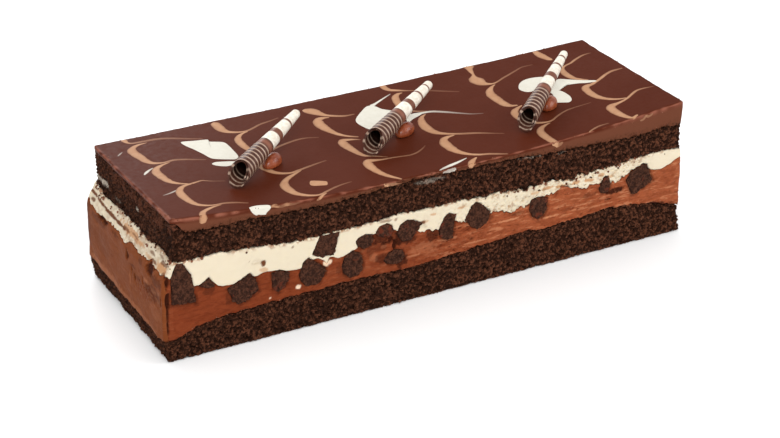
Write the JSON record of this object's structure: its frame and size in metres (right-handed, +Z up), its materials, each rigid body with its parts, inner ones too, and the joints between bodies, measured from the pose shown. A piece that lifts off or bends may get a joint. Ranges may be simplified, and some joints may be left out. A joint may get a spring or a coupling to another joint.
{
  "type": "chocolate mousse cake",
  "caption": "Layered chocolate mousse bar cake with brownie chunks, cream filling, a feathered ganache top and rolled chocolate curls.",
  "frame": {"origin": "middle of the underside of the base sponge", "axes": "+X along the length of the bar, +Y from the cut front face with the brownie chunks to the back, +Z up"},
  "size_m": [0.3081, 0.1013, 0.0949],
  "materials": {
    "dark_sponge": "open dark cocoa sponge crumb, fully matt",
    "chocolate_mousse": "smooth set chocolate mousse with knife smears, soft satin",
    "cream_mousse": "set cream mousse with a broken crumbly edge, soft satin",
    "ganache": "poured chocolate ganache feathered with caramel and white, soft gloss",
    "brownie": "dense brownie crumb, matt",
    "rolled_chocolate": "striped dark and white rolled chocolate, satin",
    "chocolate_dab": "glossy set drop of chocolate"
  },
  "bodies": {
    "root": {"sponge_base": "dark_sponge", "chocolate_mousse": "chocolate_mousse", "cream_mousse": "cream_mousse", "sponge_top": "dark_sponge", "ganache": "ganache", "brownie_front_01": "brownie", "brownie_front_02": "brownie", "brownie_front_03": "brownie", "brownie_front_04": "brownie", "brownie_front_05": "brownie", "brownie_front_06": "brownie", "brownie_front_07": "brownie", "brownie_front_08": "brownie", "brownie_front_09": "brownie", "brownie_front_10": "brownie", "brownie_front_11": "brownie", "brownie_front_12": "brownie", "brownie_front_13": "brownie", "brownie_front_14": "brownie", "brownie_front_15": "brownie", "brownie_front_16": "brownie", "brownie_back_01": "brownie", "brownie_back_02": "brownie", "brownie_back_03": "brownie", "brownie_back_04": "brownie", "brownie_back_05": "brownie", "brownie_back_06": "brownie", "brownie_back_07": "brownie", "brownie_back_08": "brownie", "brownie_back_09": "brownie", "brownie_back_10": "brownie", "brownie_back_11": "brownie", "brownie_back_12": "brownie", "curl_left": "rolled_chocolate", "curl_middle": "rolled_chocolate", "curl_right": "rolled_chocolate", "dab_left": "chocolate_dab", "dab_middle": "chocolate_dab", "dab_right": "chocolate_dab"}
  },
  "joints": []
}
